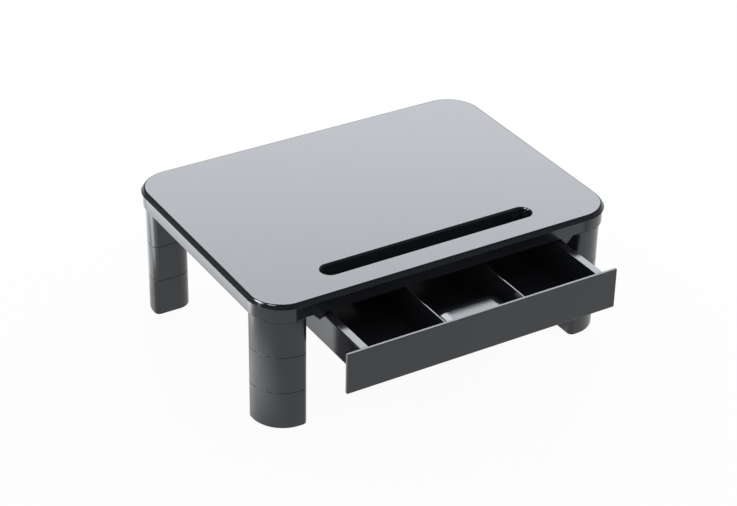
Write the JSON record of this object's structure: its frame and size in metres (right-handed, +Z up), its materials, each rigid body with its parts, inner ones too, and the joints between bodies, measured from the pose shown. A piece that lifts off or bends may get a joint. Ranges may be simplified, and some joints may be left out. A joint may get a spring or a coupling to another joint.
{
  "type": "laptop stand with drawer",
  "caption": "Low rectangular desk riser with a slotted glossy board on stacked corner legs and a divided drawer that slides out at the front.",
  "frame": {"origin": "on the ground, below the middle of the whole outline with the drawer open as pictured", "axes": "+X to the right as seen from the drawer's side, +Y from the drawer front to the back, +Z up"},
  "size_m": [0.37, 0.3292, 0.13],
  "materials": {
    "board": "polished, dark, mirrors its surroundings",
    "body": "glossy, moulded",
    "legs": "glossy, moulded",
    "drawer": "glossy, moulded",
    "pads": "matt",
    "screws": "zinc plated"
  },
  "bodies": {
    "stand": {"top_panel": "board", "frame": "body", "left_runner": "body", "right_runner": "body", "frame_screws": "screws", "runner_screws": "screws"},
    "drawer": {"drawer_tray": "drawer", "drawer_front": "drawer", "left_divider": "drawer", "right_divider": "drawer"},
    "fl_upper": {"fl_leg_upper": "legs"},
    "fl_middle": {"fl_leg_middle": "legs"},
    "fl_lower": {"fl_leg_lower": "legs", "fl_foot_pad": "pads"},
    "fr_upper": {"fr_leg_upper": "legs"},
    "fr_middle": {"fr_leg_middle": "legs"},
    "fr_lower": {"fr_leg_lower": "legs", "fr_foot_pad": "pads"},
    "rl_upper": {"rl_leg_upper": "legs"},
    "rl_middle": {"rl_leg_middle": "legs"},
    "rl_lower": {"rl_leg_lower": "legs", "rl_foot_pad": "pads"},
    "rr_upper": {"rr_leg_upper": "legs"},
    "rr_middle": {"rr_leg_middle": "legs"},
    "rr_lower": {"rr_leg_lower": "legs", "rr_foot_pad": "pads"}
  },
  "joints": [
    {"name": "drawer_slide", "type": "slide", "parent": "stand", "child": "drawer", "axis": [0, -1, 0], "range_m": [-0.06, 0.09]},
    {"name": "fl_upper_pull", "type": "slide", "parent": "stand", "child": "fl_upper", "axis": [0, 0, -1], "range_m": [0, 0.01]},
    {"name": "fl_middle_pull", "type": "slide", "parent": "fl_upper", "child": "fl_middle", "axis": [0, 0, -1], "range_m": [0, 0.01]},
    {"name": "fl_lower_pull", "type": "slide", "parent": "fl_middle", "child": "fl_lower", "axis": [0, 0, -1], "range_m": [0, 0.01]},
    {"name": "fr_upper_pull", "type": "slide", "parent": "stand", "child": "fr_upper", "axis": [0, 0, -1], "range_m": [0, 0.01]},
    {"name": "fr_middle_pull", "type": "slide", "parent": "fr_upper", "child": "fr_middle", "axis": [0, 0, -1], "range_m": [0, 0.01]},
    {"name": "fr_lower_pull", "type": "slide", "parent": "fr_middle", "child": "fr_lower", "axis": [0, 0, -1], "range_m": [0, 0.01]},
    {"name": "rl_upper_pull", "type": "slide", "parent": "stand", "child": "rl_upper", "axis": [0, 0, -1], "range_m": [0, 0.01]},
    {"name": "rl_middle_pull", "type": "slide", "parent": "rl_upper", "child": "rl_middle", "axis": [0, 0, -1], "range_m": [0, 0.01]},
    {"name": "rl_lower_pull", "type": "slide", "parent": "rl_middle", "child": "rl_lower", "axis": [0, 0, -1], "range_m": [0, 0.01]},
    {"name": "rr_upper_pull", "type": "slide", "parent": "stand", "child": "rr_upper", "axis": [0, 0, -1], "range_m": [0, 0.01]},
    {"name": "rr_middle_pull", "type": "slide", "parent": "rr_upper", "child": "rr_middle", "axis": [0, 0, -1], "range_m": [0, 0.01]},
    {"name": "rr_lower_pull", "type": "slide", "parent": "rr_middle", "child": "rr_lower", "axis": [0, 0, -1], "range_m": [0, 0.01]}
  ]
}
